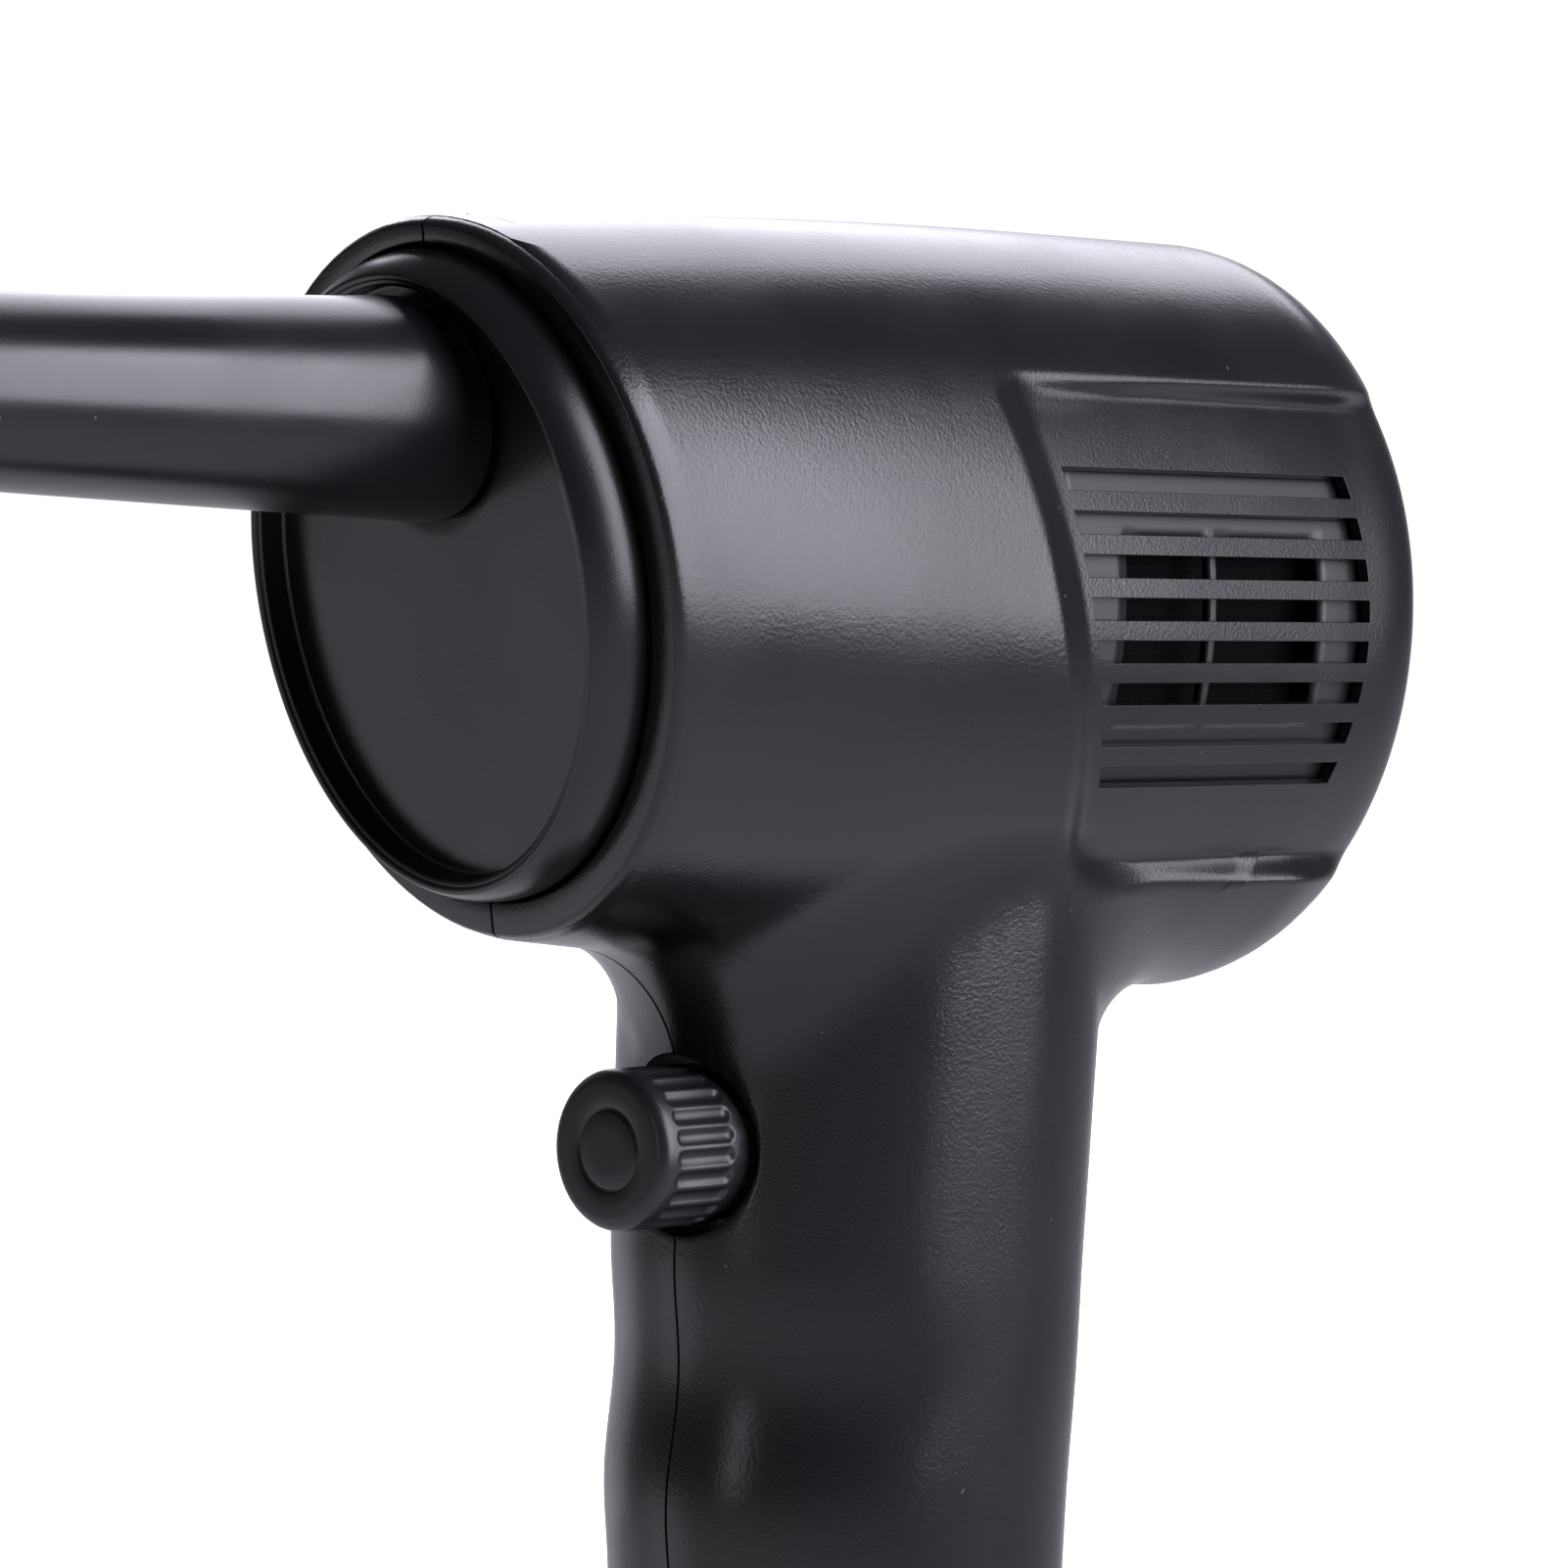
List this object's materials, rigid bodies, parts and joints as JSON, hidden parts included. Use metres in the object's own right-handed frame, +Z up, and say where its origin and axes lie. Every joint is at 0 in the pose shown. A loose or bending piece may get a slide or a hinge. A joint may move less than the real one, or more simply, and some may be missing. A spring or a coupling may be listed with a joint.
{
  "type": "handheld blower",
  "caption": "Small cordless handheld blower: slanted oval face with a long tapered pull-off nozzle, side intake slots and a speed dial on an upright grip.",
  "frame": {"origin": "centre of the rubber foot's flat underside, under the axis of the grip", "axes": "+Z up along the grip, -Y the way the air leaves the nozzle, +X to the side the threaded bosses are on, X = 0 the parting plane of the shells"},
  "size_m": [0.0592, 0.2238, 0.1917],
  "materials": {
    "shell_plastic": "fine moulded grain, charcoal black",
    "cup_plastic": "satin moulded, charcoal black",
    "nozzle_plastic": "satin moulded, charcoal black",
    "dial_plastic": "satin moulded, black",
    "inner_plastic": "plain moulded",
    "rubber": "matte",
    "filter_mesh": "fine mesh",
    "steel": "zinc plated",
    "bearing_steel": "polished",
    "motor_aluminium": "turned",
    "fan_aluminium": "milled",
    "magnet_iron": "plain",
    "copper": "enamelled copper wire",
    "circuit_board": "solder mask",
    "chip_black": "moulded package",
    "capacitor_can": "drawn can",
    "cell_wrap": "shrink sleeve",
    "nickel": "plated",
    "light_plastic": "milky, clear",
    "lead_red": "insulated wire",
    "lead_black": "insulated wire"
  },
  "bodies": {
    "casing": {"base_cap": "shell_plastic", "base_pad": "rubber", "battery_lead_black": "lead_black", "battery_lead_red": "lead_red", "bearing_front": "bearing_steel", "bearing_rear": "bearing_steel", "board_capacitors": "capacitor_can", "board_chips": "chip_black", "cell_front": "cell_wrap", "cell_holder_lower": "inner_plastic", "cell_holder_upper": "inner_plastic", "cell_rear": "cell_wrap", "cell_strip_lower": "nickel", "cell_strip_upper": "nickel", "charge_board": "circuit_board", "charge_light_board": "circuit_board", "charge_light_pipe": "light_plastic", "charge_port_shell": "nickel", "charge_port_tongue": "chip_black", "control_board": "circuit_board", "control_body": "inner_plastic", "control_nut": "steel", "dust_filter_left": "filter_mesh", "dust_filter_right": "filter_mesh", "fan_ring_front": "rubber", "fan_ring_rear": "rubber", "fan_shroud": "inner_plastic", "front_cup": "cup_plastic", "housing_left": "shell_plastic", "housing_right": "shell_plastic", "housing_screws": "steel", "intake_frame_left": "inner_plastic", "intake_frame_right": "inner_plastic", "motor_board": "circuit_board", "motor_can": "motor_aluminium", "motor_end_cap": "motor_aluminium", "outlet_duct": "inner_plastic", "stator_core": "magnet_iron", "stator_windings": "copper"},
    "fan_rotor": {"rotor_shaft": "steel", "rotor_magnet": "magnet_iron", "impeller": "fan_aluminium", "impeller_nut": "steel"},
    "dial": {"speed_dial": "dial_plastic", "dial_shaft": "steel"},
    "nozzle": {"nozzle_tube": "nozzle_plastic", "nozzle_seal": "rubber"}
  },
  "joints": [
    {"name": "fan_spin", "type": "hinge", "parent": "casing", "child": "fan_rotor", "pos_m": [0, 0.01, 0.1717], "axis": [0, 1, 0], "continuous": true},
    {"name": "dial_turn", "type": "hinge", "parent": "casing", "child": "dial", "pos_m": [0, -0.027, 0.1033], "axis": [0, -1, 0], "range_deg": [0, 270]},
    {"name": "nozzle_pull", "type": "slide", "parent": "casing", "child": "nozzle", "axis": [0, -1, 0], "range_m": [0, 0.022]}
  ]
}
